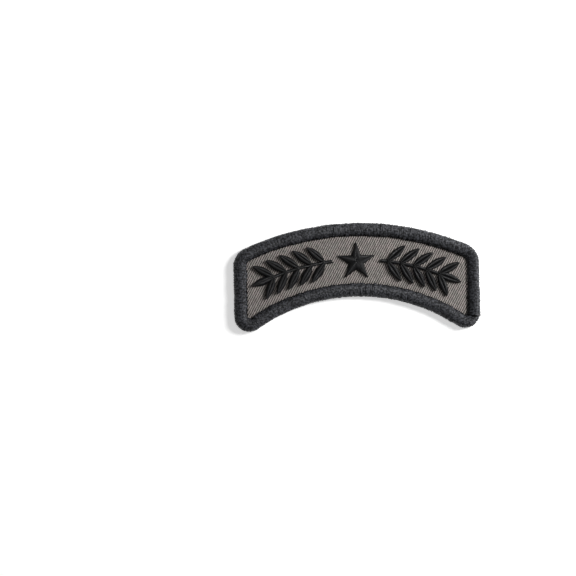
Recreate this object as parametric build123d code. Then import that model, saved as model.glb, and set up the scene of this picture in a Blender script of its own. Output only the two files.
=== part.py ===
"""Arched embroidered rocker patch, lying face up.

A flat band of stiffened twill is cut to an arch with straight, parallel ends. An overlocked border of
thick thread wraps its cut edge all the way round, front and back. The face carries raised satin stitch:
a five-pointed star in the middle of the band and a laurel sprig on each side of it.

Frame: origin at the middle of the box, at the bottom. +X along the band to the wearer's left, +Y towards
the crown of the arch, +Z out of the face. The border's flat underside lies on Z = 0. Millimetres, degrees.
"""

import os
from math import asin, atan2, cos, degrees, floor, radians, sin, sqrt

from build123d import *

# Outline of the finished patch
patch_width = 88.9
band_height = 26.6  # from the crown of the upper edge to the crown of the lower edge
crown_radius = 99.0  # upper edge
foot_radius = 64.0  # lower edge
shoulder_radius = 6.9  # upper corners
toe_radius = 5.4  # lower corners
least_core = 0.3  # the border's inner side never turns on a smaller radius

# Twill ground, stiffened
cloth_thickness = 1.2

# Overlocked border, as its cross-section
border_width = 4.8
border_thickness = 3.2
border_drop = 0.95  # how far its arched top falls from the middle to either side, before rounding
outer_round = 0.8  # upper edge outside
inner_round = 0.25  # upper edge inside
base_round = 0.5  # lower edges
back_wrap = 0.6  # thread under the cloth
edge_wrap = 0.8  # thread outside the cloth's cut edge
wrap_clearance = 0.05

# Where the last stitches of the border run over its first ones, from the right toe up the right end
lap_rise = 0.25
lap_angle = 25.0  # of the toe's bend
lap_length = 6.6  # of the right end

# Raised satin stitch
satin_clearance = 0.05
motif_margin = 2.0  # bare twill between the border and the widest motif
motif_gap = 1.4  # bare twill between the star and a sprig
satin_rise = 1.0
satin_round = 0.7  # how far the padding draws in at the top
star_waist = 0.42  # inner over outer radius
leaf_width = 3.0
leaf_angle = 48.0  # from the stem
leaf_gap = 0.55  # bare twill between leaves on one side
stem_width = 1.2
stem_rise = 0.75

# Padding under satin stitch: a row for each level, bottom to top
# (share of the rise, share of the rounding by which the outline has drawn in)
pad_levels = [
    (0.0, 0.0),
    (0.45, 0.0),
    (0.8, 0.35),
    (1.0, 1.0),
]

STAR_POINTS = 5

# Heights
cloth_back = back_wrap
cloth_face = cloth_back + cloth_thickness
satin_seat = cloth_face + satin_clearance

# Plan, measured from the crown of the upper edge and then centred on the box
shoulder_bend = max(shoulder_radius, border_width + least_core)
toe_bend = max(toe_radius, border_width + least_core)
toe_x = patch_width / 2 - toe_bend
toe_drop = band_height + foot_radius - sqrt((foot_radius + toe_bend) ** 2 - toe_x**2)
patch_height = toe_drop + toe_bend
crown_y = patch_height / 2
crown_centre_y = crown_y - crown_radius
foot_centre_y = crown_y - band_height - foot_radius

# The line down the middle of the band, which the motifs follow
spine_radius = (crown_radius + foot_radius) / 2
spine_centre_y = (crown_centre_y + foot_centre_y) / 2
spine_y = spine_centre_y + spine_radius


def outline_edges(inset):
    """The patch's outline drawn in by inset, counterclockwise from the lower end of the right end."""
    half = patch_width / 2 - inset
    upper, lower = crown_radius - inset, foot_radius + inset
    shoulder, toe = shoulder_bend - inset, toe_bend - inset
    shoulder_x, low_x = half - shoulder, half - toe
    shoulder_y = crown_centre_y + sqrt((upper - shoulder) ** 2 - shoulder_x**2)
    low_y = foot_centre_y + sqrt((lower + toe) ** 2 - low_x**2)
    rise = degrees(atan2(shoulder_y - crown_centre_y, shoulder_x))
    climb = degrees(atan2(low_y - foot_centre_y, low_x))
    return [
        Line((half, low_y), (half, shoulder_y)),
        CenterArc((shoulder_x, shoulder_y), shoulder, 0, rise),
        CenterArc((0, crown_centre_y), upper, rise, 180 - 2 * rise),
        CenterArc((-shoulder_x, shoulder_y), shoulder, 180 - rise, rise),
        Line((-half, shoulder_y), (-half, low_y)),
        CenterArc((-low_x, low_y), toe, 180, 180 - climb),
        CenterArc((0, foot_centre_y), lower, 180 - climb, 2 * climb - 180),
        CenterArc((low_x, low_y), toe, 180 + climb, 180 - climb),
    ]


def outline_face(inset):
    return make_face(outline_edges(inset))


def border_section(extra=0.0):
    """The border's cross-section, raised by extra, with the slot that holds the cloth's edge.

    X points out of the patch and Y up, and the outline is at X = 0.
    """
    inner, ridge = -border_width, border_thickness + extra
    eave = ridge - border_drop
    top = ThreePointArc((inner, eave), (inner / 2, ridge), (0, eave))
    sides = Polyline((0, eave), (0, 0), (inner, 0), (inner, eave))
    section = make_face([top, *sides.edges()])
    corners = {
        (0, 0): base_round,
        (0, eave): outer_round,
        (inner, eave): inner_round,
        (inner, 0): base_round,
    }
    for corner, rounding in corners.items():
        nearest = section.vertices().sort_by_distance((*corner, 0))[0]
        section = fillet(nearest, rounding)
    slot_height = cloth_thickness + 2 * wrap_clearance
    slot = Rectangle(border_width, slot_height, align=(Align.MAX, Align.MIN))
    return section - Pos(wrap_clearance - edge_wrap, cloth_back - wrap_clearance) * slot


def border_run(edge, extra=0.0):
    """The length of border along one edge of the outline."""
    start, ahead = edge @ 0, edge % 0
    across = Plane(origin=start, x_dir=(ahead.Y, -ahead.X, 0), z_dir=-ahead)
    section = across * border_section(extra)
    if edge.geom_type == GeomType.LINE:
        return extrude(section, edge.length, dir=ahead)
    centre = edge.arc_center
    axis = Axis(centre, ahead.cross(centre - start))
    return revolve(section, axis, degrees(edge.length / edge.radius))


def merrow_border():
    """The overlocked ring. It is thicker where its last stitches run over its first ones."""
    right_end, *edges, toe = outline_edges(0)
    lap_start = 1 - lap_angle / degrees(toe.length / toe_bend)
    lap_stop = lap_length / right_end.length
    runs = [border_run(edge) for edge in edges]
    runs.append(border_run(toe.trim(0, lap_start)))
    runs.append(border_run(toe.trim(lap_start, 1), lap_rise))
    runs.append(border_run(right_end.trim(0, lap_stop), lap_rise))
    runs.append(border_run(right_end.trim(lap_stop, 1)))
    return runs[0].fuse(*runs[1:])


def twill_ground():
    return Pos(0, 0, cloth_back) * extrude(outline_face(edge_wrap), cloth_thickness)


def pad(outline, rise, rounding):
    """A raised satin pad over outline(inset), which draws in towards its top."""
    levels = [Pos(0, 0, rise * height) * outline(rounding * drawn) for height, drawn in pad_levels]
    return loft(levels, ruled=True)


def star_radius():
    """The star fills the band's height at its middle, between the margins."""
    clear = band_height - 2 * border_width - 2 * motif_margin
    return clear / (1 + cos(radians(180 / STAR_POINTS)))


def star_outline(inset):
    outer = star_radius()
    inner = outer * star_waist
    step = radians(180 / STAR_POINTS)
    edge = sqrt(outer**2 + inner**2 - 2 * outer * inner * cos(step))
    apothem = outer * inner * sin(step) / edge
    kept = 1 - inset / apothem
    corners = []
    for i in range(2 * STAR_POINTS):
        reach = kept * (inner if i % 2 else outer)
        corners.append((reach * sin(i * step), reach * cos(i * step)))
    return make_face(Polyline(*corners, close=True))


def centre_star():
    """Its top point and its two lower points stand the same distance from the border."""
    outer = star_radius()
    centre_y = spine_y - outer * (1 - cos(radians(180 / STAR_POINTS))) / 2
    return Pos(0, centre_y, satin_seat) * pad(star_outline, satin_rise, satin_round)


def leaf_length():
    """A leaf reaches from the stem to the margin."""
    return (band_height / 2 - border_width - motif_margin) / sin(radians(leaf_angle))


def leaf_outline(inset):
    """A pointed oval with its base at the origin and its tip on +X."""
    half_length, half_width = leaf_length() / 2, leaf_width / 2
    side_radius = (half_length**2 + half_width**2) / (2 * half_width)
    wide = half_width - inset
    long = sqrt((side_radius - inset) ** 2 - (side_radius - half_width) ** 2)
    base, tip = (half_length - long, 0), (half_length + long, 0)
    sides = [
        ThreePointArc(base, (half_length, -wide), tip),
        ThreePointArc(tip, (half_length, wide), base),
    ]
    return make_face(sides)


def on_spine(along):
    """The place and heading at a length along the spine from its middle, towards +X."""
    turn = along / spine_radius
    place = (spine_radius * sin(turn), spine_centre_y + spine_radius * cos(turn))
    return Location((*place, satin_seat), (0, 0, -degrees(turn)))


def sprig_reach():
    """Lengths along the spine where the stem starts and where the last leaf's base stands."""
    start = star_radius() + motif_gap
    end_x = patch_width / 2 - border_width - motif_margin
    end = spine_radius * asin(end_x / spine_radius)
    return start, end - leaf_length()


def stem_outline(start, end, inset):
    inner, outer = spine_radius - stem_width / 2 + inset, spine_radius + stem_width / 2 - inset
    first = 90 - degrees((start + inset) / spine_radius)
    last = 90 - degrees(end / spine_radius)
    centre = (0, spine_centre_y)
    over = CenterArc(centre, outer, first, last - first)
    under = CenterArc(centre, inner, first, last - first)
    return make_face([over, Line(over @ 1, under @ 1), under, Line(under @ 0, over @ 0)])


def laurel_right():
    """A stem along the spine with a leaf at its end and leaves in pairs."""
    start, end = sprig_reach()
    stem = pad(lambda inset: stem_outline(start, end + stem_width, inset), stem_rise, stem_width / 4)
    sprig = Pos(0, 0, satin_seat) * stem
    leaf = pad(leaf_outline, satin_rise, satin_round)
    sprig += on_spine(end) * leaf
    pitch = (leaf_width + leaf_gap) / sin(radians(leaf_angle))
    pairs = 1 + floor((end - start) / pitch)
    for i in range(pairs):
        for side in (1, -1):
            sprig += on_spine(end - i * pitch) * Rot(0, 0, side * leaf_angle) * leaf
    return sprig


def main():
    sprig = laurel_right()
    nodes = {
        "twill_ground": twill_ground(),
        "merrow_border": merrow_border(),
        "centre_star": centre_star(),
        "laurel_right": sprig,
        "laurel_left": mirror(sprig, Plane.YZ),
    }
    os.makedirs("parts", exist_ok=True)
    for name, shape in nodes.items():
        export_step(shape, f"parts/{name}.step")
    print(f"{patch_width:.1f} x {patch_height:.1f} x {border_thickness + lap_rise:.2f} mm")


main()
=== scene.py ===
"""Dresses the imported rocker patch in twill, an overlocked border and satin stitch, on a pale floor.

The script's own lengths are in millimetres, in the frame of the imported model: +X along the band, +Y towards
the crown of the arch, +Z out of the face and Z = 0 on the floor. MM turns them into Blender's metres.
"""

from math import asin, atan2, ceil, cos, floor, pi, radians, sin, sqrt, tau

import bpy
import numpy as np
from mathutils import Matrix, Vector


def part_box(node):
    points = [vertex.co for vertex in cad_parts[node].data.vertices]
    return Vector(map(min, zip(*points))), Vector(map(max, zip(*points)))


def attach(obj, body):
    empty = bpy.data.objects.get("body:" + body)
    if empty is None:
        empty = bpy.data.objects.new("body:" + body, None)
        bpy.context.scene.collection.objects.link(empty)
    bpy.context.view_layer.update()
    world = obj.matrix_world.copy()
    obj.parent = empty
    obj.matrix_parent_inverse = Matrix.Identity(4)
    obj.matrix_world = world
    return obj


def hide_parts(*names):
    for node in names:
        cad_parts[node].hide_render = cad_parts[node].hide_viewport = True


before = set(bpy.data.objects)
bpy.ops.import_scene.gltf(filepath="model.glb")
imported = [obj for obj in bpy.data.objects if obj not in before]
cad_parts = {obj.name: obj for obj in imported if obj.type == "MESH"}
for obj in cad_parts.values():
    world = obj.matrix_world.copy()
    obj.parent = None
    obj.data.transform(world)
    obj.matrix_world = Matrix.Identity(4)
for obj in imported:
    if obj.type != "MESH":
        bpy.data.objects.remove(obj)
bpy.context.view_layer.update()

MM = 0.001
rng = np.random.default_rng(12)

# Outline of the patch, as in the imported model
half_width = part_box("merrow_border")[1].x / MM
crown_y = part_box("merrow_border")[1].y / MM
band_height = 26.6
crown_radius = 99.0
foot_radius = 64.0
shoulder_radius = 6.9
toe_radius = 5.4

# Cloth and border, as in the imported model
cloth_back = 0.6
cloth_face = 1.8
edge_wrap = 0.8  # from the outline to the cloth's cut edge
border_width = 4.8
border_thickness = 3.2
lap_rise = 0.25
lap_angle = radians(25)  # of the right toe
lap_length = 6.6  # of the right end

# Satin motifs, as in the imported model
satin_seat = 1.85
motif_margin = 2.0
motif_gap = 1.4
satin_rise = 1.0
star_waist = 0.42
leaf_width = 3.0
leaf_angle = radians(48)
leaf_gap = 0.55
stem_width = 1.2
stem_rise = 0.75
star_points = 5

crown_centre_y = crown_y - crown_radius
foot_centre_y = crown_y - band_height - foot_radius
spine_radius = (crown_radius + foot_radius) / 2
spine_centre_y = (crown_centre_y + foot_centre_y) / 2
spine_y = spine_centre_y + spine_radius


# The rim: the patch's outline, walked counterclockwise by length along the middle of the border

toe_x = half_width - toe_radius
toe_y = foot_centre_y + sqrt((foot_radius + toe_radius) ** 2 - toe_x**2)
shoulder_x = half_width - shoulder_radius
shoulder_y = crown_centre_y + sqrt((crown_radius - shoulder_radius) ** 2 - shoulder_x**2)
rise_angle = atan2(shoulder_y - crown_centre_y, shoulder_x)
climb_angle = atan2(toe_y - foot_centre_y, toe_x)


def straight(x, y, heading, length):
    """A run of the rim that starts at x, y."""
    return {"x": x, "y": y, "angle": heading, "turn": 0.0, "radius": 0.0, "out": 1, "length": length}


def bend(x, y, radius, angle, turn):
    """A run of the rim about x, y. A negative turn is clockwise, with the patch outside the circle."""
    out = 1 if turn > 0 else -1
    length = abs(turn) * (radius - out * border_width / 2)
    return {"x": x, "y": y, "angle": angle, "turn": turn, "radius": radius, "out": out, "length": length}


rim_runs = [
    straight(half_width, toe_y, pi / 2, shoulder_y - toe_y),
    bend(shoulder_x, shoulder_y, shoulder_radius, 0, rise_angle),
    bend(0, crown_centre_y, crown_radius, rise_angle, pi - 2 * rise_angle),
    bend(-shoulder_x, shoulder_y, shoulder_radius, pi - rise_angle, rise_angle),
    straight(-half_width, shoulder_y, -pi / 2, shoulder_y - toe_y),
    bend(-toe_x, toe_y, toe_radius, pi, pi - climb_angle),
    bend(0, foot_centre_y, foot_radius, pi - climb_angle, 2 * climb_angle - pi),
    bend(toe_x, toe_y, toe_radius, pi + climb_angle, pi - climb_angle),
]
rim = {key: np.array([run[key] for run in rim_runs]) for key in rim_runs[0]}
rim_ends = np.cumsum(rim["length"])
rim_length = rim_ends[-1]
lap_start = -lap_angle * (toe_radius - border_width / 2)


def rim_run(t):
    """The run that each length t falls in, and the length walked in it."""
    t = np.mod(t, rim_length)
    run = np.minimum(np.searchsorted(rim_ends, t, side="right"), len(rim_runs) - 1)
    return run, t - (rim_ends - rim["length"])[run]


def on_rim(t, outward):
    """Plan points at lengths t along the rim, and outward from the outline."""
    run, walked = rim_run(t)
    angle = rim["angle"][run] + rim["turn"][run] * walked / rim["length"][run]
    ray = np.stack([np.cos(angle), np.sin(angle)], axis=-1)
    start = np.stack([rim["x"][run], rim["y"][run]], axis=-1)
    aside = np.stack([ray[..., 1], -ray[..., 0]], axis=-1)
    is_bend = (rim["radius"][run] > 0)[..., None]
    reach = rim["radius"][run] + rim["out"][run] * outward
    on_bend = start + ray * reach[..., None]
    on_line = start + ray * walked[..., None] + aside * outward[..., None]
    return np.where(is_bend, on_bend, on_line)


def in_space(t, outward, up):
    return np.concatenate([on_rim(t, outward), up[..., None]], axis=-1)


def inside_depth(x, y):
    """How far plan points lie inside the outline, leaving its rounded corners out of account."""
    from_crown = crown_radius - np.hypot(x, y - crown_centre_y)
    from_foot = np.hypot(x, y - foot_centre_y) - foot_radius
    return np.minimum(np.minimum(from_crown, from_foot), half_width - np.abs(x))


def wander(t, pitch, size):
    """Smooth random values along the rim, with a fresh one about every pitch."""
    knots = round(rim_length / pitch)
    values = rng.normal(0, size, knots)
    place = np.mod(t, rim_length) / rim_length * knots
    low = np.floor(place).astype(int)
    blend = place - low
    blend = blend * blend * (3 - 2 * blend)
    return values[low % knots] * (1 - blend) + values[(low + 1) % knots] * blend


# Meshes of thread

# Bare strips beside each thread in the UV map, as shares of its own cell there
u_margin = 0.04
v_margin = 0.06


def tubes(paths, ups, across, along_up, sides, looped=False, twist=0.0):
    """Threads along paths, an array of threads by stations by 3, as rings of an oval section.

    across and along_up are its half sizes, sideways and towards ups. Ends are closed, unless looped.
    twist is how far the filaments turn round the thread, in radians per millimetre.
    """
    threads, stations, _ = paths.shape
    if looped:
        tangent = np.roll(paths, -1, axis=1) - np.roll(paths, 1, axis=1)
    else:
        tangent = np.gradient(paths, axis=1)
    tangent = tangent / np.linalg.norm(tangent, axis=2, keepdims=True)
    side = np.cross(tangent, ups)
    side = side / np.linalg.norm(side, axis=2, keepdims=True)
    top = np.cross(side, tangent)
    shape = (threads, stations)
    across = np.broadcast_to(across, shape)[..., None, None]
    along_up = np.broadcast_to(along_up, shape)[..., None, None]
    turn = tau * (np.arange(sides) + 0.5) / sides
    sideways = across * side[:, :, None] * np.cos(turn)[:, None]
    upwards = along_up * top[:, :, None] * np.sin(turn)[:, None]
    points = (paths[:, :, None] + (sideways + upwards)).reshape(-1, 3)

    spans = stations if looped else stations - 1
    a, b = np.meshgrid(np.arange(spans), np.arange(sides), indexing="ij")
    c, d = (a + 1) % stations, (b + 1) % sides
    quads = np.stack([a * sides + b, c * sides + b, c * sides + d, a * sides + d], axis=-1).reshape(-1, 4)
    first = np.arange(threads) * stations * sides
    faces = (first[:, None, None] + quads).reshape(-1, 4)
    caps = np.empty((0, sides), int)
    if not looped:
        begin = first[:, None] + np.arange(sides)
        end = first[:, None] + (stations - 1) * sides + np.arange(sides)[::-1]
        caps = np.concatenate([begin, end])

    steps = np.linalg.norm(np.diff(paths, axis=1), axis=2)
    along = np.concatenate([np.zeros((threads, 1)), np.cumsum(steps, axis=1)], axis=1)
    swirl = turn + twist * along[..., None]
    lengthwise = np.broadcast_to(along[..., None], swirl.shape)
    fibre = np.stack([lengthwise, np.cos(swirl), np.sin(swirl)], axis=-1)

    columns = max(1, round(sqrt(threads * tau * across.mean() / along[:, -1].mean())))
    rows = ceil(threads / columns)
    thread = np.arange(threads)
    u0, v0 = (thread % columns) / columns, (thread // columns) / rows
    u = np.stack([a, a + 1, a + 1, a], axis=-1).reshape(-1, 4) / spans
    v = np.stack([b, b, b + 1, b + 1], axis=-1).reshape(-1, 4) / sides
    uv = np.stack([
        u0[:, None, None] + (u_margin + (1 - 2 * u_margin) * u) / columns,
        v0[:, None, None] + (v_margin + (1 - 2 * v_margin) * v) / rows,
    ], axis=-1).reshape(-1, 2)
    cap_uv = np.zeros((0, 2))
    if not looped:
        near = np.stack([u0 + u_margin / columns, v0 + 0.5 / rows], axis=-1)
        far = np.stack([u0 + (1 - u_margin) / columns, v0 + 0.5 / rows], axis=-1)
        cap_uv = np.repeat(np.concatenate([near, far]), sides, axis=0)
    return {
        "points": points,
        "quads": faces,
        "caps": caps,
        "uv": np.concatenate([uv, cap_uv]),
        "fibre": fibre.reshape(-1, 3),
        "per_thread": stations * sides,
    }


def add_piece(name, points, faces, material, slot, tones=None, fibre=None, uv=None):
    """A mesh piece that rides on the patch, with a tone for each point and the threads' own coordinates."""
    mesh = bpy.data.meshes.new(name)
    mesh.from_pydata((points * MM).tolist(), [], faces)
    mesh.shade_smooth()
    mesh.materials.append(material)
    tone = mesh.attributes.new("tone", "FLOAT", "POINT")
    tone.data.foreach_set("value", np.ones(len(points)) if tones is None else tones)
    if fibre is not None:
        along = mesh.attributes.new("fibre", "FLOAT_VECTOR", "POINT")
        along.data.foreach_set("vector", fibre.ravel())
    if uv is not None:
        layer = mesh.uv_layers.new(name="OFBake")
        layer.data.foreach_set("uv", uv.ravel())
    piece = bpy.data.objects.new(name, mesh)
    bpy.context.scene.collection.objects.link(piece)
    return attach(piece, "root")


def add_threads(name, made, tones, material, slot):
    """A piece made of tubes, each with its own tone."""
    faces = made["quads"].tolist() + made["caps"].tolist()
    spread = np.repeat(tones, made["per_thread"])
    return add_piece(name, made["points"], faces, material, slot, spread, made["fibre"], made["uv"])


# Materials

patch_blend = 0.1  # how far the noise strays from its middle before a thread has one colour or the other
duller = 0.14  # roughness that the patches of the first colour gain
glossier = 0.1  # roughness that those of the other colour lose


def new_material(name, colour, roughness, sheen, specular=0.5):
    material = bpy.data.materials.new(name)
    material.use_nodes = True
    shader = material.node_tree.nodes["Principled BSDF"]
    shader.inputs["Base Color"].default_value = (*colour, 1)
    shader.inputs["Roughness"].default_value = roughness
    shader.inputs["Specular IOR Level"].default_value = specular
    shader.inputs["Sheen Weight"].default_value = sheen
    shader.inputs["Sheen Roughness"].default_value = 0.5
    return material, material.node_tree, shader


def thread_material(name, colour, other, roughness, sheen, specular, mottle_size, fibre_depth):
    """Thread with twisted filaments, coloured in patches from colour to other, times each thread's tone."""
    material, tree, shader = new_material(name, colour, roughness, sheen, specular)
    nodes, links = tree.nodes, tree.links

    place = nodes.new("ShaderNodeTexCoord")
    mottle = nodes.new("ShaderNodeTexNoise")
    mottle.inputs["Scale"].default_value = 1 / (mottle_size * MM)
    mottle.inputs["Detail"].default_value = 1
    mottle.inputs["Roughness"].default_value = 0.3
    links.new(place.outputs["Object"], mottle.inputs["Vector"])
    contrast = nodes.new("ShaderNodeMapRange")
    contrast.inputs["From Min"].default_value = 0.5 - patch_blend
    contrast.inputs["From Max"].default_value = 0.5 + patch_blend
    links.new(mottle.outputs["Fac"], contrast.inputs["Value"])
    patches = nodes.new("ShaderNodeMix")
    patches.data_type = "RGBA"
    patches.inputs["A"].default_value = (*colour, 1)
    patches.inputs["B"].default_value = (*other, 1)
    links.new(contrast.outputs["Result"], patches.inputs["Factor"])
    gloss = nodes.new("ShaderNodeMapRange")
    gloss.inputs["To Min"].default_value = roughness + duller
    gloss.inputs["To Max"].default_value = roughness - glossier
    links.new(contrast.outputs["Result"], gloss.inputs["Value"])
    links.new(gloss.outputs["Result"], shader.inputs["Roughness"])

    tone = nodes.new("ShaderNodeAttribute")
    tone.attribute_name = "tone"
    toned = nodes.new("ShaderNodeVectorMath")
    toned.operation = "SCALE"
    links.new(patches.outputs["Result"], toned.inputs[0])
    links.new(tone.outputs["Fac"], toned.inputs["Scale"])
    links.new(toned.outputs["Vector"], shader.inputs["Base Color"])

    fibre = nodes.new("ShaderNodeAttribute")
    fibre.attribute_name = "fibre"
    stretch = nodes.new("ShaderNodeVectorMath")
    stretch.operation = "MULTIPLY"
    stretch.inputs[1].default_value = (0.8, 2.2, 2.2)  # filaments are longer than they are wide
    filaments = nodes.new("ShaderNodeTexNoise")
    filaments.inputs["Scale"].default_value = 1.6
    filaments.inputs["Detail"].default_value = 3
    bump = nodes.new("ShaderNodeBump")
    bump.inputs["Strength"].default_value = 0.8
    bump.inputs["Distance"].default_value = fibre_depth * MM
    links.new(fibre.outputs["Vector"], stretch.inputs[0])
    links.new(stretch.outputs["Vector"], filaments.inputs["Vector"])
    links.new(filaments.outputs["Fac"], bump.inputs["Height"])
    links.new(bump.outputs["Normal"], shader.inputs["Normal"])
    return material


border_thread = thread_material(
    "border_thread",
    colour=(0.003, 0.0035, 0.005),
    other=(0.056, 0.058, 0.067),
    roughness=0.54,
    sheen=0.0,
    specular=0.45,
    mottle_size=0.65,
    fibre_depth=0.06,
)
satin_thread = thread_material(
    "satin_thread",
    colour=(0.004, 0.004, 0.0045),
    other=(0.008, 0.008, 0.009),
    roughness=0.42,
    sheen=0.0,
    specular=0.35,
    mottle_size=2.0,
    fibre_depth=0.03,
)
# near black, darker than the satin: the needle thread, partly painted shade along the border's inner edge
needle_thread_shade = thread_material(
    "needle_thread_shade",
    colour=(0.0015, 0.0015, 0.002),
    other=(0.004, 0.004, 0.0045),
    roughness=0.7,
    sheen=0.0,
    specular=0.15,
    mottle_size=1.0,
    fibre_depth=0.03,
)
warp_yarn = thread_material(
    "warp_yarn",
    colour=(0.40, 0.358, 0.34),
    other=(0.355, 0.33, 0.307),
    roughness=0.7,
    sheen=0.1,
    specular=0.3,
    mottle_size=2.5,
    fibre_depth=0.04,
)
# much darker than the warp: the weft, partly painted shade of the grooves between the warp floats
weft_yarn_shade = thread_material(
    "weft_yarn_shade",
    colour=(0.055, 0.047, 0.043),
    other=(0.042, 0.038, 0.035),
    roughness=0.8,
    sheen=0.05,
    specular=0.2,
    mottle_size=2.5,
    fibre_depth=0.04,
)
# near black: painted shade where it shows between the border's strands and in the lap's groove; under the
# satin motifs it is about the satin's own black
under_thread_and_shade, _, _ = new_material(
    "under_thread_and_shade", (0.004, 0.004, 0.005), roughness=0.8, sheen=0.0, specular=0.2
)

back_pitch = 0.7917  # of the yarns on the plain side of the cloth
wave_period = tau / 20  # of Blender's wave texture at scale 1


def backing_material():
    """The plain side of the cloth: fine plain weave, darker than the face."""
    material, tree, shader = new_material(
        "cloth_back", (0.11, 0.1, 0.094), roughness=0.85, sheen=0.1, specular=0.2
    )
    nodes, links = tree.nodes, tree.links
    place = nodes.new("ShaderNodeTexCoord")
    waves_across = []
    for direction in ("X", "Y"):
        wave = nodes.new("ShaderNodeTexWave")
        wave.bands_direction = direction
        wave.inputs["Scale"].default_value = wave_period / (back_pitch * MM)
        wave.inputs["Distortion"].default_value = 0.6
        links.new(place.outputs["Object"], wave.inputs["Vector"])
        waves_across.append(wave)
    weave = nodes.new("ShaderNodeMath")
    weave.operation = "MULTIPLY"
    links.new(waves_across[0].outputs["Fac"], weave.inputs[0])
    links.new(waves_across[1].outputs["Fac"], weave.inputs[1])
    bump = nodes.new("ShaderNodeBump")
    bump.inputs["Distance"].default_value = 0.2 * MM
    links.new(weave.outputs["Value"], bump.inputs["Height"])
    links.new(bump.outputs["Normal"], shader.inputs["Normal"])
    return material


cloth_side = backing_material()


# Twill ground

warp_pitch = 0.284
weft_pitch = 0.524
twill_repeat = 3  # each warp passes over two wefts and under one
warp_lean = radians(6)  # of the warp's visible lengths, clockwise
ground_top = 1.70  # the sheet under the yarns
tuck = 0.4  # how far the yarns go in under the border
edge_sink = 0.1  # how much lower they lie there
edge_slope = 0.5  # width of the strip where they go down
end_narrowing = 0.45  # share of its thickness that a yarn loses where it dives


def outline_loop(inset, step=1.0):
    """Plan points of the outline drawn in by inset."""
    t = np.linspace(0, rim_length, round(rim_length / step), endpoint=False)
    return on_rim(t, np.full(len(t), -inset))


def twill_sheet():
    """The cloth itself, closed, cut to the shape that the border wraps."""
    loop = outline_loop(edge_wrap)
    n = len(loop)
    levels = [cloth_back, ground_top]
    points = np.concatenate([np.column_stack([loop, np.full(n, z)]) for z in levels])
    sides = [[i, (i + 1) % n, n + (i + 1) % n, n + i] for i in range(n)]
    faces = [list(range(n))[::-1], list(range(n, 2 * n)), *sides]
    piece = add_piece("twill_sheet", points, faces, cloth_side, "twill")
    piece.data.shade_flat()
    # the sheet's top shows between the yarns in the dark weft colour: painted shade
    piece.data.materials.append(weft_yarn_shade)
    piece.data.polygons[1].material_index = 1
    x, y = loop.T
    area = abs(np.dot(x, np.roll(y, -1)) - np.dot(y, np.roll(x, -1))) / 2 * MM**2
    return piece, np.ptp(loop, axis=0) * MM, area


def weave_places(shift):
    """Plan points of the cells where the weft lies on top, moved up by shift wefts, inside the border."""
    warps = np.arange(-ceil(half_width / warp_pitch), ceil(half_width / warp_pitch) + 1)
    wefts = np.arange(-ceil(crown_y / weft_pitch) - twill_repeat, ceil(crown_y / weft_pitch) + 1)
    i, j = (grid.ravel() for grid in np.meshgrid(warps, wefts))
    x, y = i * warp_pitch, (j + shift) * weft_pitch
    keep = ((j - i) % twill_repeat == 0) & (inside_depth(x, y) > border_width - tuck)
    return x[keep], y[keep]


def yarn_bumps(x, y, heading, half_length, half_wide, half_high, base, dip, stations, sides):
    """Short visible lengths of yarn that rise in the middle and dive at both ends."""
    share = np.linspace(-1, 1, stations)
    n = len(x)
    run = half_length[:, None] * share
    paths = np.empty((n, stations, 3))
    paths[..., 0] = x[:, None] + run * np.cos(heading)[:, None]
    paths[..., 1] = y[:, None] + run * np.sin(heading)[:, None]
    clear = inside_depth(paths[..., 0], paths[..., 1]) - border_width
    sunk = edge_sink * np.clip(1 - clear / edge_slope, 0, 1)
    paths[..., 2] = base[:, None] - dip * share**2 - sunk
    ups = np.broadcast_to([0.0, 0.0, 1.0], paths.shape)
    taper = 1 - end_narrowing * share**4
    return tubes(paths, ups, half_wide * taper, half_high * taper, sides, twist=4.0)


def twill():
    sheet, flat, area = twill_sheet()
    x, y = weave_places(twill_repeat / 2)
    n = len(x)
    warp = yarn_bumps(
        x + rng.normal(0, 0.012, n),
        y + rng.normal(0, 0.02, n),
        heading=np.full(n, pi / 2) - warp_lean + rng.normal(0, 0.03, n),
        half_length=0.63 + rng.normal(0, 0.02, n),
        half_wide=0.146,
        half_high=0.12,
        base=cloth_face - 0.02 + rng.normal(0, 0.012, n),
        dip=0.15,
        stations=6,
        sides=5,
    )
    warp_tone = np.clip(1 + rng.normal(0, 0.12, n), 0.6, 1.4)
    floats = add_threads("twill_warp", warp, warp_tone, warp_yarn, "twill")
    x, y = weave_places(0)
    n = len(x)
    weft = yarn_bumps(
        x,
        y + rng.normal(0, 0.02, n),
        heading=rng.normal(0, 0.03, n),
        half_length=np.full(n, 0.3),
        half_wide=0.23,
        half_high=0.11,
        base=cloth_face - 0.13 + rng.normal(0, 0.01, n),
        dip=0.06,
        stations=4,
        sides=6,
    )
    weft_tone = np.clip(1 + rng.normal(0, 0.15, n), 0.5, 1.5)
    spots = add_threads("twill_weft", weft, weft_tone, weft_yarn_shade, "twill")
    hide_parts("twill_ground")


# Overlocked border

strand_half = 0.155  # half the width of one strand
bead_drop = 1.35  # how far the thread falls from the border's middle to either side
bead_power = 3.2  # 2 is a round bead, and more is flatter in the middle and steeper at its sides
right_end_sink = 1.1  # how much lower the inner side is at the right end
sink_from = 0.7  # length in from the outline where that slope starts
sink_lead = 1.0  # length along X before the middle of the right toe where the sinking starts
sink_run = 4.0  # length along X in which it reaches its full depth
strand_inset = 0.04
strand_sides = 7
stitch_pitch = 0.82
strands_per_stitch = 3
lane_drop = 0.03  # how much lower a stitch's outer strands are than its middle one
toe_crowding = 0.72  # share of the usual pitch on the lower corners
shoulder_crowding = 0.85  # and on the upper ones
profile_stations = 32
usual_slant = 0.4  # how far a stitch moves along the rim from the inner edge to the outer one
core_inset = 0.2
fibre_half = 0.014  # half the width of a loose fibre

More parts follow.
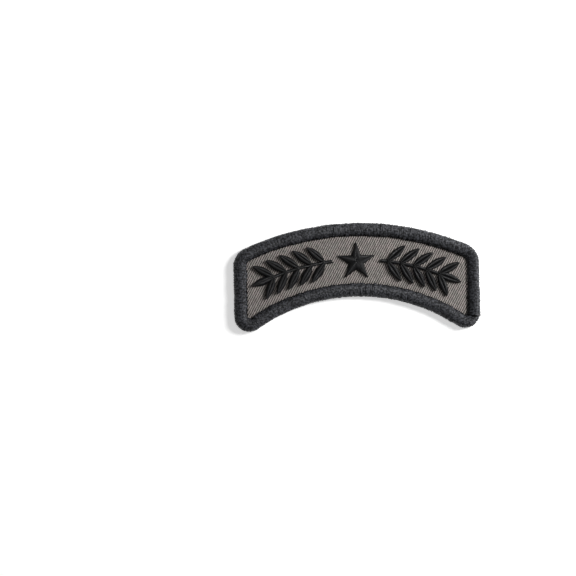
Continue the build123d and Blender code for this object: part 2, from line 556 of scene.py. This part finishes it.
# Where the last stitch lies on the first one
lap_slant = 1.3
lap_slant_reach = 2.2  # length along the rim over which the slant returns to the usual one
lap_fade = 2.5  # length in which the raised stretch sinks back at its far end
lap_bulge = 0.5  # share of the raising by which the raised stretch also stands out all round
lap_gap = 0.5  # dark line between the last stitch and the first
lap_groove = 0.4  # depth of that line in the core
groove_steepness = 1.3  # over 1 the groove has a flat bottom
lap_closing = 0.45  # share of the gap that each side closes on the back
lap_closing_reach = 1.2  # length along the rim over which that fades
back_height = 0.9  # strands lower than this are on the back

# Unevenness of the stitches and strands: standard deviations, and the pitches of slow swings along the rim
stitch_shift = 0.03
strand_sway = 0.035
stitch_swell = 0.02
strand_swell = 0.03
swell_along = 0.05
outline_swell = 0.045
outline_pitch = 1.05
ragged_swing = 0.24
ragged_pitch = 0.65
ragged_spread = 0.05
ragged_limits = (-0.4, 0.25)
ragged_width = 1.2  # how far the raggedness reaches in from the border's inner side
needle_swing = 0.1
strand_tones = 0.15
stitch_tones = 0.05
rim_tones = 0.05
rim_tones_pitch = 2.5

# For each run of the rim: how far the thread stops short of the imported border's inner side, and half the
# width of the needle stitches there, which also paint the shade line along that side
short_of_inside = np.array([0.4, 0.25, 0.2, 0.1, 0, 0.1, 0.12, 0.2])
needle_shade_half = np.array([0.2, 0.25, 0.28, 0.25, 0.2, 0.16, 0.13, 0.16])

needle_pitch = 1.3
needle_share = 0.96  # of the pitch that a needle stitch covers
needle_reach = 0.06  # how far the row goes past the strands' ends
needle_top = 0.42  # above the cloth
needle_dive = 0.35  # how much lower a stitch's ends are
needle_high = 0.13  # half its height


def walked_along(points):
    """Length walked to each point of a line."""
    return np.concatenate([[0], np.cumsum(np.linalg.norm(np.diff(points, axis=0), axis=1))])


def bead_profile(inset, stations):
    """Points (outward, up) round the border's section, drawn in by inset. They start at the inner edge."""
    half = border_width / 2
    share = np.linspace(-1, 1, 41)
    fall = bead_drop * np.abs(share) ** bead_power
    arch = np.column_stack([(half - inset) * share - half, border_thickness - inset - fall])
    corners = np.array([[-inset, inset], [-border_width + inset, inset]])
    loop = np.concatenate([arch, corners])
    closed = np.concatenate([loop, loop[:1]])
    walked = walked_along(closed)
    even = np.linspace(0, walked[-1], 240, endpoint=False)
    fine = np.column_stack([np.interp(even, walked, closed[:, k]) for k in range(2)])
    rounding = 12  # neighbours on either side that each point is averaged with
    soft = np.mean([np.roll(fine, k, axis=0) for k in range(-rounding, rounding + 1)], axis=0)
    pick = np.round(np.linspace(0, len(soft), stations, endpoint=False)).astype(int)
    return soft[pick]


def bead_middle(t):
    """Points in the middle of the border's section."""
    return in_space(t, np.full(t.shape, -border_width / 2), np.full(t.shape, border_thickness / 2))


def on_top(profile):
    """How far up the border's section each of its points is, from 0 to 1."""
    return np.clip(profile[:, 1] / border_thickness, 0, 1)


def from_lap(t):
    """Length from where the last stitches start to lie on the first ones, going round once."""
    return np.mod(t - lap_start, rim_length)


def from_line(t):
    """Length to the lap's line, whichever way is shorter."""
    ahead = from_lap(t)
    return np.minimum(ahead, rim_length - ahead)


def lap_height(t):
    """How far the border is raised at t: a step at the lap's line, and a slow fall to the usual height."""
    left = (lap_length - lap_start + lap_fade - from_lap(t)) / lap_fade
    return lap_rise * np.clip(left, 0, 1)


def slant_at(t):
    """How far along the rim a stitch leans. It leans most at the lap."""
    return usual_slant + (lap_slant - usual_slant) * np.exp(-((from_line(t) / lap_slant_reach) ** 2))


def crowding(t):
    """The share of the usual pitch at t: stitches stand closer round the corners."""
    radius = rim["radius"][rim_run(t)[0]]
    corners = [radius == toe_radius, radius == shoulder_radius]
    return np.select(corners, [toe_crowding, shoulder_crowding], 1.0)


def stitch_places():
    """Where the stitches cross the border's middle, from one side of the lap's line round to the other."""
    fine = lap_start + np.linspace(lap_gap / 2, rim_length - lap_gap / 2, 6000)
    steps = np.diff(fine) / (stitch_pitch * crowding(fine[:-1]))
    count = np.concatenate([[0], np.cumsum(steps)])
    stitches = round(count[-1])
    return np.interp((np.arange(stitches) + 0.5) * count[-1] / stitches, count, fine)


def heights(home, profile):
    """The profile's heights at each home on the rim, raised at the lap and lowered inside the right end."""
    inner = np.clip((-profile[:, 0] - sink_from) / (border_width - sink_from), 0, 1)
    x = on_rim(home, np.full(len(home), -border_width / 2))[:, 0]
    sink = right_end_sink * np.clip((x - toe_x + sink_lead) / sink_run, 0, 1)
    return profile[:, 1] + (lap_height(home)[:, None] - sink[:, None] * inner) * on_top(profile)


def border_core():
    """A dark bead under the strands that closes their gaps. Its near-black colour is painted shade there and
    in the lap's groove.
    """
    around = np.linspace(0, rim_length, 420, endpoint=False)
    beside = np.linspace(0.05, 0.8, 9)  # closer stations on both sides of the lap's line
    home = lap_start + np.sort(np.concatenate([around, beside, rim_length - beside]))
    profile = bead_profile(core_inset, 24)
    n, m = len(home), len(profile)
    groove = lap_groove * np.clip(groove_steepness * (1 - from_line(home) / lap_gap), 0, 1)
    up = heights(home, profile) - groove[:, None] * on_top(profile)
    t = home[:, None] + slant_at(home)[:, None] * (profile[:, 0] / border_width + 0.5)
    points = in_space(t, np.broadcast_to(profile[:, 0], t.shape), up).reshape(-1, 3)
    a, b = np.meshgrid(np.arange(n), np.arange(m), indexing="ij")
    c, d = (a + 1) % n, (b + 1) % m
    faces = np.stack([a * m + b, a * m + d, c * m + d, c * m + b], axis=-1).reshape(-1, 4).tolist()
    core = add_piece("border_core", points, faces, under_thread_and_shade, "border_thread")
    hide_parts("merrow_border")


def waves(n, stations, size):
    """Slow random swings round a closed loop, one row for each of n strands."""
    u = np.linspace(0, tau, stations, endpoint=False)
    out = np.zeros((n, stations))
    for times in (1, 2, 3, 5, 8):
        out += rng.normal(0, size / sqrt(times), (n, 1)) * np.sin(times * u + rng.uniform(0, tau, (n, 1)))
    return out


def border_strands():
    """Closed loops of strand round the border, three side by side in each stitch."""
    stitches = stitch_places()
    k = len(stitches)
    lane = np.tile(np.arange(strands_per_stitch) - (strands_per_stitch - 1) / 2, k)
    n = len(lane)
    crowd = np.repeat(crowding(stitches), strands_per_stitch)
    home = np.repeat(stitches + rng.normal(0, stitch_shift, k), strands_per_stitch)
    home = home + lane * crowd * stitch_pitch / strands_per_stitch

    # Lengths along the rim at each station. On the back the strands close the gap at the lap
    profile = bead_profile(strand_inset, profile_stations)
    m = len(profile)
    out = profile[:, 0]
    across_border = out / border_width + 0.5
    t = home[:, None] + slant_at(home)[:, None] * across_border + waves(n, m, strand_sway)
    closing = lap_closing * lap_gap * np.exp(-from_line(home) / lap_closing_reach)
    closing = closing * np.where(from_lap(home) < rim_length / 2, -1, 1)
    t = t + closing[:, None] * np.clip(back_height - profile[:, 1], 0, 1)

    # How far the strands stand off the profile, away from its middle, and how ragged their inner ends are
    away = profile - [-border_width / 2, border_thickness / 2]
    away = away / np.linalg.norm(away, axis=1, keepdims=True)
    high = np.repeat(rng.normal(0, stitch_swell, k), strands_per_stitch)
    high = high - lane_drop * np.abs(lane) + lap_bulge * lap_height(home)
    high = high + rng.normal(0, strand_swell, n)
    high = high[:, None] + waves(n, m, swell_along)
    high = high + wander(t, outline_pitch, outline_swell) * (0.5 + np.clip(across_border, 0, 1))
    ragged = wander(home, ragged_pitch, ragged_swing) + rng.normal(0, ragged_spread, n)
    ragged = np.clip(ragged, *ragged_limits) + short_of_inside[rim_run(home)[0]]
    inner = np.clip(1 - (out + border_width) / ragged_width, 0, 1)
    outward = out + away[:, 0] * high + ragged[:, None] * inner
    up = heights(home, profile) + away[:, 1] * high
    paths = in_space(t, outward, np.maximum(up, strand_half))

    # Strands are thinner where they stand close, and where a bend brings them together
    run, _ = rim_run(t)
    fan = rim["radius"][run]
    middle = np.where(fan > 0, fan - rim["out"][run] * border_width / 2, 1)
    spread = np.where(fan > 0, (fan + rim["out"][run] * outward) / middle, 1)
    across = strand_half * np.clip(crowd[:, None] * spread, 0.6, 1.5) ** 0.8

    # Tones differ from strand to strand, from stitch to stitch and slowly along the rim
    tone = 1 + rng.normal(0, strand_tones, n)
    tone = tone + np.repeat(rng.normal(0, stitch_tones, k), strands_per_stitch)
    tone = tone + wander(home, rim_tones_pitch, rim_tones)
    return paths, paths - bead_middle(t), across, np.clip(tone, 0.5, 1.6)


def border_fuzz(count):
    """Loose fibres that stand off the border's thread, from places that aren't on its back."""
    profile = bead_profile(0.0, 120)
    ring = np.concatenate([profile, profile[:1]])
    walked = walked_along(ring)
    fuzz_from = 0.7  # height of the lowest places
    visible = walked[:-1][profile[:, 1] > fuzz_from]
    share = np.linspace(0, 1, 4)
    reach = rng.uniform(0.3, 0.8, (count, 1)) * rng.choice([-1, 1], (count, 1))
    sway = rng.normal(0, 0.2, (count, 1))
    curl = rng.normal(0, 0.08, (count, 1))
    t = rng.uniform(0, rim_length, (count, 1)) + sway * share + curl * np.sin(pi * share)
    place = np.mod(rng.choice(visible, (count, 1)) + reach * share, walked[-1])
    out = np.interp(place, walked, ring[:, 0])
    up = np.interp(place, walked, ring[:, 1])
    away = np.stack([out + border_width / 2, up - border_thickness / 2], axis=-1)
    away = away / np.linalg.norm(away, axis=-1, keepdims=True)
    lift = 0.03 + rng.uniform(0.02, 0.16, (count, 1)) * share**1.5
    up = np.maximum(up + away[..., 1] * lift, 0.1) + lap_height(t) * up / border_thickness
    paths = in_space(t, out + away[..., 0] * lift, up)
    thin = fibre_half * (1 - 0.5 * share)
    return tubes(paths, paths - bead_middle(t), thin, thin, sides=3), rng.uniform(1.0, 3.0, count)


def needle_shade_line():
    """The row of needle stitches that holds down the strands along the border's inner edge. Their near-black
    colour and width are partly painted shade of the line there.
    """
    count = round(rim_length / needle_pitch)
    share = np.linspace(0, 1, 7)
    start = np.arange(count)[:, None] * rim_length / count
    t = start + share * needle_pitch * needle_share
    run, _ = rim_run(t)
    inward = border_width + needle_reach - needle_shade_half[run] - short_of_inside[run]
    inward = inward + wander(t, ragged_pitch, needle_swing)
    up = cloth_face + needle_top - needle_dive * (2 * share - 1) ** 4 + np.zeros(t.shape)
    paths = in_space(t, -inward, up)
    ups = np.broadcast_to([0.0, 0.0, 1.0], paths.shape)
    return tubes(paths, ups, needle_shade_half[run], needle_high, sides=6, twist=3.0), np.ones(count)


def loose_end():
    """The border thread's three loose strands, which come out of the lap's line and end at the outline. They
    are drawn in the darker satin thread at a lower tone: painted shade of the gap they lie in.
    """
    share = np.linspace(0, 1, 14)
    start = -2.2  # inside the outline
    stop = np.array([[0.7], [0.6], [0.45]])  # outside it
    aside = np.array([[0.01], [-0.09], [0.1]])
    depth = 0.55  # below the border's top
    droop = 0.6  # how much lower still the far ends are
    splay = 1.5  # how much further apart they are
    out = start + (stop - start) * share
    t = lap_start + lap_slant * (out / border_width + 0.5) + aside * (1 + splay * share**4)
    fall = bead_drop * np.minimum(np.abs(2 * out / border_width + 1), 1) ** bead_power
    up = border_thickness - fall - depth + aside - droop * share**4
    paths = in_space(t, out, up)
    ups = np.broadcast_to([0.0, 0.0, 1.0], paths.shape)
    thick = 0.04 + 0.08 * np.sqrt(1 - np.abs(2 * share - 1) ** 4)
    # tone 0.6: painted shade of the lap's gap
    return tubes(paths, ups, thick, thick, sides=7, twist=3.0), np.full(len(paths), 0.6)


def overlocked_border():
    border_core()
    paths, ups, across, tone = border_strands()
    along_up = strand_half * 0.95
    names = ["border_stitches_right", "border_stitches_left", "border_stitches_foot"]
    cuts = np.linspace(0, len(paths), len(names) + 1).astype(int)
    for name, first, last in zip(names, cuts[:-1], cuts[1:]):
        cut = slice(first, last)
        made = tubes(paths[cut], ups[cut], across[cut], along_up, strand_sides, looped=True, twist=2.5)
        add_threads(name, made, tone[cut], border_thread, "border_thread")
    add_threads("border_fuzz", *border_fuzz(3500), border_thread, "border_thread")
    add_threads("needle_stitches_shade", *needle_shade_line(), needle_thread_shade, "satin_thread")
    add_threads("loose_thread_end", *loose_end(), satin_thread, "satin_thread")


# Satin stitch

satin_half = 0.17  # half the width of one satin thread
satin_pitch = 0.29
satin_bed = 0.7  # share of that half width by which a thread lies in the pad
satin_jitter = 0.02
satin_flatness = 0.85  # height of a thread's section over its width
full_thread = 1.4  # threads shorter than this are thinner
satin_tones = 0.25  # standard deviation of the threads' tones
skin_depth = 0.1  # from the threads' middles down to the dark skin


def on_pad(plan, height):
    """Threads over a pad, at plan points by thread and station, at a height above the pad's foot."""
    up = satin_seat - satin_half * satin_bed + height + rng.normal(0, satin_jitter, (len(plan), 1))
    return np.concatenate([plan, up[..., None]], axis=-1)


def satin_paths(starts, ends, height, stations):
    """Threads from starts to ends. height gives the pad's top at each share of the way."""
    share = np.linspace(0, 1, stations)
    plan = starts[:, None] + (ends - starts)[:, None] * share[:, None]
    return on_pad(plan, height(share))


def satin_thickness(paths):
    """Half the width of each thread along its way: less where it is short, and at its ends."""
    length = np.linalg.norm(np.diff(paths, axis=1), axis=2).sum(axis=1)
    share = np.linspace(-1, 1, paths.shape[1])
    return satin_half * np.clip(length / full_thread, 0.4, 1)[:, None] * (1 - 0.35 * share**8)


def joined(rows):
    """Rows of tubes in one, each with its own strip of the UV map."""
    shifts = np.cumsum([0] + [len(row["points"]) for row in rows[:-1]])
    strips = [row["uv"] * [1, 1 / len(rows)] + [0, k / len(rows)] for k, row in enumerate(rows)]
    quad_uv = [strip[: row["quads"].size] for strip, row in zip(strips, rows)]
    cap_uv = [strip[row["quads"].size :] for strip, row in zip(strips, rows)]
    return {
        "points": np.concatenate([row["points"] for row in rows]),
        "quads": np.concatenate([row["quads"] + shift for row, shift in zip(rows, shifts)]),
        "caps": np.concatenate([row["caps"] + shift for row, shift in zip(rows, shifts)]),
        "uv": np.concatenate(quad_uv + cap_uv),
        "fibre": np.concatenate([row["fibre"] for row in rows]),
        "per_thread": rows[0]["per_thread"],
    }


def skins(fields):
    """Points and faces of a sheet under the threads of each field."""
    points, faces, shift = [], [], 0
    for paths in fields:
        n, m, _ = paths.shape
        a, b = np.meshgrid(np.arange(n - 1), np.arange(m - 1), indexing="ij")
        quads = np.stack([a * m + b, a * m + b + 1, (a + 1) * m + b + 1, (a + 1) * m + b], axis=-1)
        points.append((paths - [0, 0, skin_depth]).reshape(-1, 3))
        faces += (quads.reshape(-1, 4) + shift).tolist()
        shift += n * m
    return np.concatenate(points), faces


def add_satin(name, node, fields):
    """A motif of satin threads over dark skins. Each field is a row of threads side by side."""
    rows, tones = [], []
    for paths in fields:
        ups = np.broadcast_to([0.0, 0.0, 1.0], paths.shape)
        thick = satin_thickness(paths)
        rows.append(tubes(paths, ups, thick, thick * satin_flatness, sides=6, twist=3.0))
        tones.append(np.clip(1 + rng.normal(0, satin_tones, len(paths)), 0.3, 2.0))
    piece = add_threads(name, joined(rows), np.concatenate(tones), satin_thread, "satin_thread")
    add_piece(name + "_underlay", *skins(fields), under_thread_and_shade, "satin_thread")
    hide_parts(node)


def star_height(share):
    """High on the ridge of an arm, diving into the cloth at its edge."""
    return satin_rise * (1 - 0.25 * share - 0.87 * share**6)


def leaf_height(share):
    """A low groove at the midrib, a rounded side and a dive into the cloth at the edge."""
    return satin_rise * (0.78 + 0.32 * np.sin(pi * share**0.8) - 0.9 * share**5)


def stem_height(share):
    return stem_rise * (1 - 1.12 * np.abs(2 * share - 1) ** 4)


def star_radius():
    clear = band_height - 2 * border_width - 2 * motif_margin
    return clear / (1 + cos(pi / star_points))


def ray(angle):
    """A unit vector turned clockwise from +Y."""
    return np.array([sin(angle), cos(angle)])


def star():
    """Each arm's threads run from one edge over its ridge to the other."""
    outer = star_radius()
    inner = outer * star_waist
    centre = np.array([0, spine_y - outer * (1 - cos(pi / star_points)) / 2])
    last = 0.97  # share of an arm's length that has threads
    tip_fall = 0.3  # share of the height that an arm loses at its tip
    ridge_round = 0.12  # over 0 the threads bend softly over the ridge
    step = satin_pitch / (outer * sin(pi / star_points))
    out = np.arange(step / 2, last, step)[:, None, None]
    side = np.linspace(-1, 1, 13)
    aside = (np.hypot(side, ridge_round) - ridge_round) / (np.hypot(1, ridge_round) - ridge_round)
    fields = []
    for arm in range(star_points):
        axis = tau * arm / star_points
        waists = np.where(side[:, None] < 0, ray(axis - pi / star_points), ray(axis + pi / star_points))
        plan = centre + outer * ray(axis) * out + inner * waists * (1 - out) * aside[:, None]
        fields.append(on_pad(plan, star_height(aside) * (1 - tip_fall * out[..., 0] ** 2)))
    add_satin("star_stitches", "centre_star", fields)


def on_spine(along):
    turn = along / spine_radius
    place = np.array([spine_radius * sin(turn), spine_centre_y + spine_radius * cos(turn)])
    return place, -turn


def leaf_fields(place, heading, length):
    """Both halves of a leaf: threads slant from the midrib to its edge."""
    half_length, half_leaf = length / 2, leaf_width / 2
    side_radius = (half_length**2 + half_leaf**2) / (2 * half_leaf)
    slant = radians(50)  # of the threads from the midrib
    turn = np.array([[cos(heading), sin(heading)], [-sin(heading), cos(heading)]])
    reach = np.linspace(0, 6, 600)  # places along a thread's line
    fewest = 20  # of those places inside the leaf, or the thread is left out
    first_x, last_x = -1.2, length - 0.2  # where on the midrib, or behind it, the lines start
    fields = []
    for hand in (-1, 1):
        starts, ends = [], []
        for x in np.arange(first_x, last_x, satin_pitch / sin(slant)):
            px, py = x + reach * cos(slant), reach * sin(slant)
            arc = np.sqrt(np.maximum(side_radius**2 - (px - half_length) ** 2, 0))
            edge = arc - (side_radius - half_leaf)
            inside = np.flatnonzero((px > 0) & (px < length) & (py < edge))
            if len(inside) < fewest:
                continue
            first, last = inside[[0, -1]]
            starts.append([px[first], hand * py[first]])
            ends.append([px[last], hand * py[last]])
        starts, ends = np.array(starts) @ turn + place, np.array(ends) @ turn + place
        fields.append(satin_paths(starts, ends, leaf_height, 7))
    return fields


def stem_field(start, end):
    """Short threads across the stem, each leaning a little along it."""
    turns = np.arange(start, end, satin_pitch) / spine_radius
    ahead = turns + 0.5 / spine_radius
    centre = np.array([0, spine_centre_y])
    inner, outer = spine_radius - stem_width / 2, spine_radius + stem_width / 2
    starts = centre + inner * np.column_stack([np.sin(turns), np.cos(turns)])
    ends = centre + outer * np.column_stack([np.sin(ahead), np.cos(ahead)])
    return satin_paths(starts, ends, stem_height, 7)


def sprig_fields():
    length = (band_height / 2 - border_width - motif_margin) / sin(leaf_angle)
    start = star_radius() + motif_gap
    end_x = half_width - border_width - motif_margin
    end = spine_radius * asin(end_x / spine_radius) - length
    pitch = (leaf_width + leaf_gap) / sin(leaf_angle)
    fields = [stem_field(start, end + stem_width)]
    fields += leaf_fields(*on_spine(end), length)
    for i in range(1 + floor((end - start) / pitch)):
        place, heading = on_spine(end - i * pitch)
        for hand in (-1, 1):
            fields += leaf_fields(place, heading + hand * leaf_angle, length)
    return fields


def laurels():
    add_satin("laurel_right_stitches", "laurel_right", sprig_fields())
    across = np.array([-1.0, 1.0, 1.0])
    add_satin("laurel_left_stitches", "laurel_left", [paths * across for paths in sprig_fields()])


# Setting


def floor_and_light():
    bpy.ops.mesh.primitive_plane_add(size=3.0)
    ground = bpy.context.object
    ground.name = "floor"
    pale, _, shader = new_material(
        "pale_floor", (0.93, 0.93, 0.93), roughness=0.9, sheen=0.0, specular=0.0
    )
    shader.inputs["Emission Color"].default_value = (1, 1, 1, 1)
    shader.inputs["Emission Strength"].default_value = 0.5
    ground.data.materials.append(pale)

    world = bpy.data.worlds.new("studio")
    world.use_nodes = True
    world.node_tree.nodes["Background"].inputs["Color"].default_value = (1, 1, 1, 1)
    world.node_tree.nodes["Background"].inputs["Strength"].default_value = 0.18
    bpy.context.scene.world = world

    azimuth, elevation, away = radians(24), radians(31), 0.5
    key = bpy.data.lights.new("key", "AREA")
    key.shape = "DISK"
    key.size = 0.22
    key.energy = 4.0
    lamp = bpy.data.objects.new("key", key)
    bpy.context.scene.collection.objects.link(lamp)
    lamp.location = (
        away * cos(elevation) * cos(azimuth),
        away * cos(elevation) * sin(azimuth),
        away * sin(elevation),
    )
    lamp.rotation_mode = "QUATERNION"
    lamp.rotation_quaternion = lamp.location.to_track_quat("Z", "Y")


def camera():
    """Straight above the photograph's middle, turned by the patch's lean in it."""
    pixels_per_mm = 2.764
    image_size = 576
    patch_pixel = (356.5, 276.3)
    lean = radians(1.1)
    distance = 0.6
    right = (image_size / 2 - patch_pixel[0]) / pixels_per_mm * MM
    up = (patch_pixel[1] - image_size / 2) / pixels_per_mm * MM
    data = bpy.data.cameras.new("camera")
    data.sensor_width = 36
    data.lens = data.sensor_width * distance / (image_size / pixels_per_mm * MM)
    eye = bpy.data.objects.new("camera", data)
    bpy.context.scene.collection.objects.link(eye)
    eye.location = (
        right * cos(lean) + up * sin(lean),
        -right * sin(lean) + up * cos(lean),
        distance + cloth_face * MM,
    )
    eye.rotation_euler = (0, 0, -lean)
    bpy.context.scene.camera = eye


twill()
overlocked_border()
star()
laurels()
floor_and_light()
camera()
bpy.context.scene.view_settings.view_transform = "Standard"
